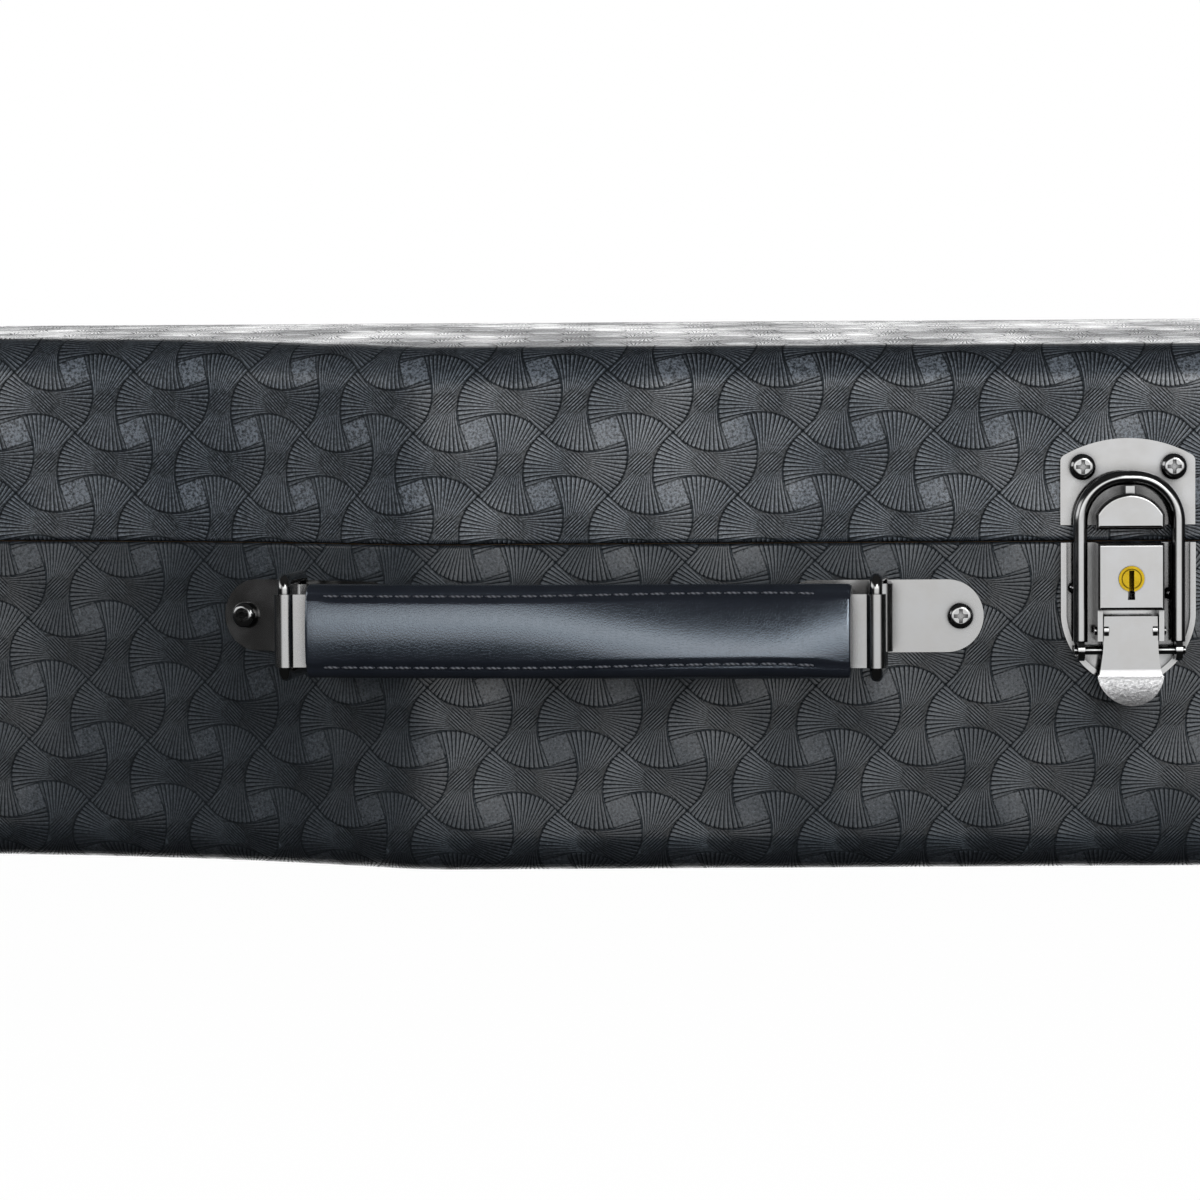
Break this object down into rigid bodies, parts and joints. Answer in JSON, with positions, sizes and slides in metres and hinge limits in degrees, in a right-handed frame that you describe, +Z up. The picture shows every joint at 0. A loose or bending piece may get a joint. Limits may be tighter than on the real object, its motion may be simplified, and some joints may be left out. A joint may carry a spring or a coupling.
{
  "type": "electric guitar case",
  "caption": "Shaped hard case for an electric guitar in black fan-embossed vinyl, with strap handle, key-lock draw-bolt latch and plush-lined interior.",
  "frame": {"origin": "middle of the flat face that the case rests on when it lies down, on the case's centre line", "axes": "+X towards the wide body end, -Y towards the handle side, +Z up through the lid"},
  "size_m": [1.0416, 0.3987, 0.1329],
  "materials": {
    "vinyl": "embossed leathercloth, satin",
    "plywood": "raw birch ply",
    "plush": "short plush pile",
    "strap_leather": "smooth, low sheen",
    "foot_rubber": "moulded",
    "lock_brass": "polished",
    "dark_nickel": "black nickel, polished"
  },
  "bodies": {
    "case_base": {"base_bottom_panel": "plywood", "base_dust_lip": "plush", "base_feet": "foot_rubber", "base_plush_lining": "plush", "base_side_rim": "plywood", "base_vinyl_bottom": "vinyl", "base_vinyl_side": "vinyl", "body_floor_pad": "plush", "compartment_hinge_rail": "plush", "compartment_rest_rails": "plush", "end_bumper_pad": "plush", "handle_plate_left": "dark_nickel", "handle_plate_right": "dark_nickel", "handle_screws": "dark_nickel", "head_cradle": "plush", "hinge_base_leaves": "dark_nickel", "hinge_base_rivets": "dark_nickel", "hinge_pins": "dark_nickel", "latch_end_base_plate": "dark_nickel", "latch_end_lever_pin": "dark_nickel", "latch_end_rivets": "dark_nickel", "latch_lock_base_plate": "dark_nickel", "latch_lock_lever_pin": "dark_nickel", "latch_lock_rivets": "dark_nickel", "latch_neck_base_plate": "dark_nickel", "latch_neck_lever_pin": "dark_nickel", "latch_neck_rivets": "dark_nickel", "neck_cradle": "plush", "waist_block_back": "plush", "waist_block_front": "plush"},
    "lid": {"hinge_lid_leaves": "dark_nickel", "hinge_lid_rivets": "dark_nickel", "latch_end_keeper": "dark_nickel", "latch_end_keeper_screws": "dark_nickel", "latch_lock_keeper": "dark_nickel", "latch_lock_keeper_screws": "dark_nickel", "latch_neck_keeper": "dark_nickel", "latch_neck_keeper_screws": "dark_nickel", "lid_feet": "foot_rubber", "lid_plush_lining": "plush", "lid_side_rim": "plywood", "lid_top_panel": "plywood", "lid_vinyl_cover": "vinyl"},
    "compartment_lid": {"compartment_lid": "plush", "compartment_pull_ribbon": "plush"},
    "lock_cylinder": {"latch_lock_lock_cylinder": "lock_brass"},
    "handle_ring_left": {"handle_ring_left": "dark_nickel"},
    "handle_ring_right": {"handle_ring_right": "dark_nickel"},
    "handle_strap": {"handle_strap": "strap_leather", "handle_steel_core": "dark_nickel"},
    "latch_neck_lever": {"latch_neck_lever": "dark_nickel"},
    "latch_neck_bail": {"latch_neck_bail": "dark_nickel"},
    "latch_lock_lever": {"latch_lock_lever": "dark_nickel"},
    "latch_lock_bail": {"latch_lock_bail": "dark_nickel"},
    "latch_end_lever": {"latch_end_lever": "dark_nickel"},
    "latch_end_bail": {"latch_end_bail": "dark_nickel"}
  },
  "joints": [
    {"name": "latch_neck_lever_turn", "type": "hinge", "parent": "case_base", "child": "latch_neck_lever", "pos_m": [-0.30039, -0.12297, 0.0577], "axis": [-0.9976, 0.0698, 0], "range_deg": [0, 110]},
    {"name": "latch_neck_bail_swing", "type": "hinge", "parent": "latch_neck_lever", "child": "latch_neck_bail", "pos_m": [-0.30035, -0.12237, 0.053], "axis": [0.9976, -0.0698, 0], "range_deg": [0, 115.5]},
    {"name": "latch_lock_lever_turn", "type": "hinge", "parent": "case_base", "child": "latch_lock_lever", "pos_m": [0.2067, -0.1836, 0.0577], "axis": [-1, 0, 0], "range_deg": [0, 110]},
    {"name": "latch_lock_bail_swing", "type": "hinge", "parent": "latch_lock_lever", "child": "latch_lock_bail", "pos_m": [0.2067, -0.183, 0.053], "axis": [1, 0, 0], "range_deg": [0, 115.5]},
    {"name": "latch_end_lever_turn", "type": "hinge", "parent": "case_base", "child": "latch_end_lever", "pos_m": [0.5206, 0, 0.0577], "axis": [0, -1, 0], "range_deg": [0, 110]},
    {"name": "latch_end_bail_swing", "type": "hinge", "parent": "latch_end_lever", "child": "latch_end_bail", "pos_m": [0.52, 0, 0.053], "axis": [0, 1, 0], "range_deg": [0, 115.5]},
    {"name": "lid_hinge", "type": "hinge", "parent": "case_base", "child": "lid", "pos_m": [0.215, 0.1815, 0.079], "axis": [-1, 0, 0], "range_deg": [0, 105]},
    {"name": "compartment_hinge", "type": "hinge", "parent": "case_base", "child": "compartment_lid", "pos_m": [-0.066, 0, 0.0405], "axis": [0, 1, 0], "range_deg": [0, 40]},
    {"name": "key_turn", "type": "hinge", "parent": "case_base", "child": "lock_cylinder", "pos_m": [0.2067, -0.183, 0.0702], "axis": [0, -1, 0], "range_deg": [0, 90]},
    {"name": "handle_left_swing", "type": "hinge", "parent": "case_base", "child": "handle_ring_left", "pos_m": [0.00856, -0.16871, 0.0603], "axis": [0, 0, 1], "range_deg": [-30, 30]},
    {"name": "handle_strap_swing", "type": "hinge", "parent": "handle_ring_left", "child": "handle_strap", "pos_m": [0.0059, -0.19257, 0.0593], "axis": [0, 0, 1], "range_deg": [-30, 30]},
    {"name": "handle_right_swing", "type": "hinge", "parent": "case_base", "child": "handle_ring_right", "pos_m": [0.1475, -0.1842, 0.0603], "axis": [0, 0, 1], "range_deg": [-30, 30]}
  ],
  "couplings": [
    {"joint": "latch_neck_bail_swing", "follows": "latch_neck_lever_turn", "ratio": 1.05},
    {"joint": "latch_lock_bail_swing", "follows": "latch_lock_lever_turn", "ratio": 1.05},
    {"joint": "latch_end_bail_swing", "follows": "latch_end_lever_turn", "ratio": 1.05},
    {"joint": "handle_strap_swing", "follows": "handle_left_swing", "ratio": -1},
    {"joint": "handle_right_swing", "follows": "handle_left_swing", "ratio": 1}
  ]
}
